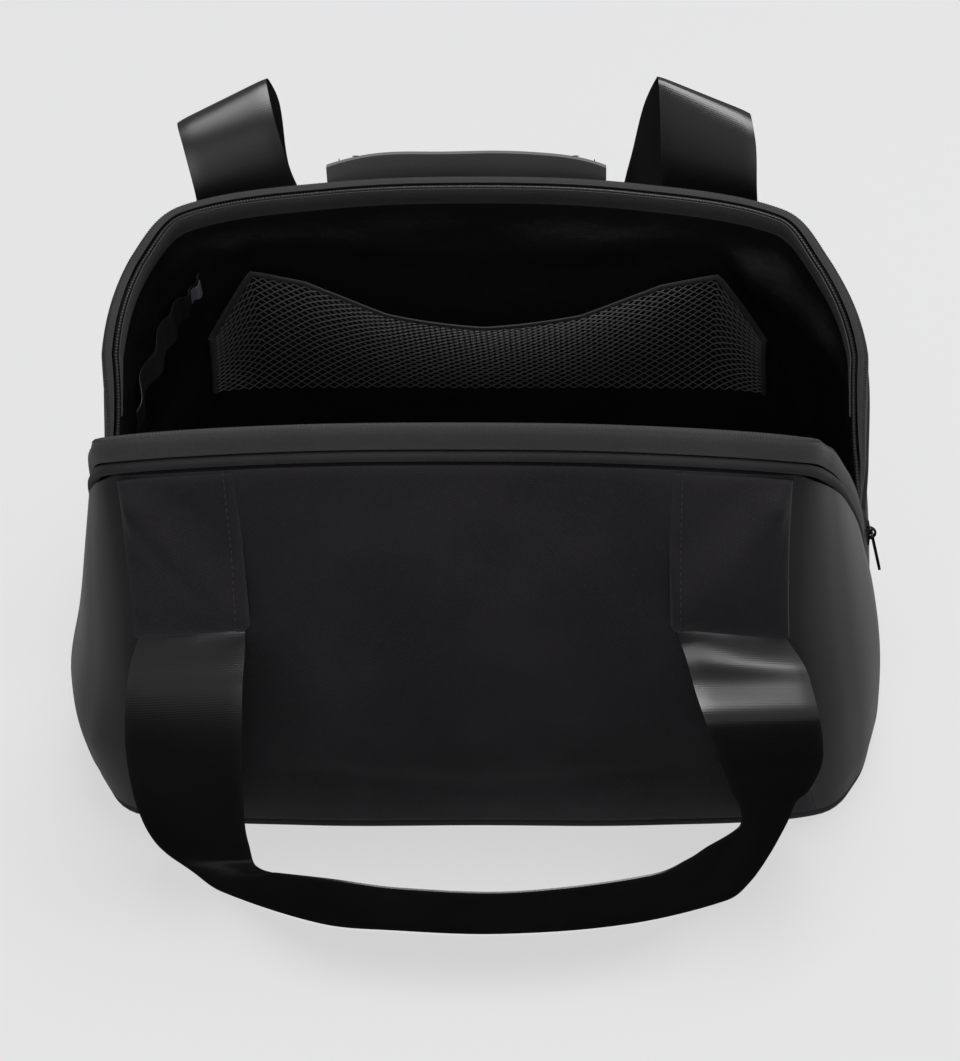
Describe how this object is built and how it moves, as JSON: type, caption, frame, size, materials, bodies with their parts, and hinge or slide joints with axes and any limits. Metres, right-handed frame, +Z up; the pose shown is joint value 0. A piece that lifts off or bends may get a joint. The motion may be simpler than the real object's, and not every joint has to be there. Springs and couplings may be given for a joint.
{
  "type": "helmet bag",
  "caption": "Open black helmet bag with a curved zip mouth, two wide webbing handles, an inner mesh pocket and a sleeve behind.",
  "frame": {"origin": "on the floor under the middle of the base panel", "axes": "+Z up, -Y towards the front of the bag, +X towards the zip slider"},
  "size_m": [0.3758, 0.3833, 0.2557],
  "materials": {
    "panel_cloth": "black twill, matt",
    "gusset_cloth": "smooth padded cloth, matt",
    "tape_cloth": "woven zip tape",
    "webbing": "ribbed webbing with a soft sheen",
    "lining_cloth": "thin coated lining",
    "mesh": "open knitted mesh",
    "label_ribbon": "satin ribbon",
    "coil_nylon": "satin",
    "black_metal": "gloss black"
  },
  "bodies": {
    "bag": {"front_panel": "panel_cloth", "back_panel": "panel_cloth", "left_gusset": "gusset_cloth", "right_gusset": "gusset_cloth", "base_panel": "panel_cloth", "front_piping": "panel_cloth", "back_piping": "panel_cloth", "front_zip_tape": "tape_cloth", "back_zip_tape": "tape_cloth", "front_zip_coil": "coil_nylon", "back_zip_coil": "coil_nylon", "zip_slider": "black_metal", "front_left_patch": "panel_cloth", "front_right_patch": "panel_cloth", "back_left_patch": "panel_cloth", "back_right_patch": "panel_cloth", "front_handle": "webbing", "back_handle": "webbing", "back_sleeve": "gusset_cloth", "lining": "lining_cloth", "mesh_pocket": "mesh", "care_label": "label_ribbon"},
    "tab": {"pull_tab": "black_metal"}
  },
  "joints": [
    {"name": "tab_swing", "type": "hinge", "parent": "bag", "child": "tab", "pos_m": [0.18045, 0, 0.08707], "axis": [0, -1, 0], "range_deg": [0, 140]}
  ]
}
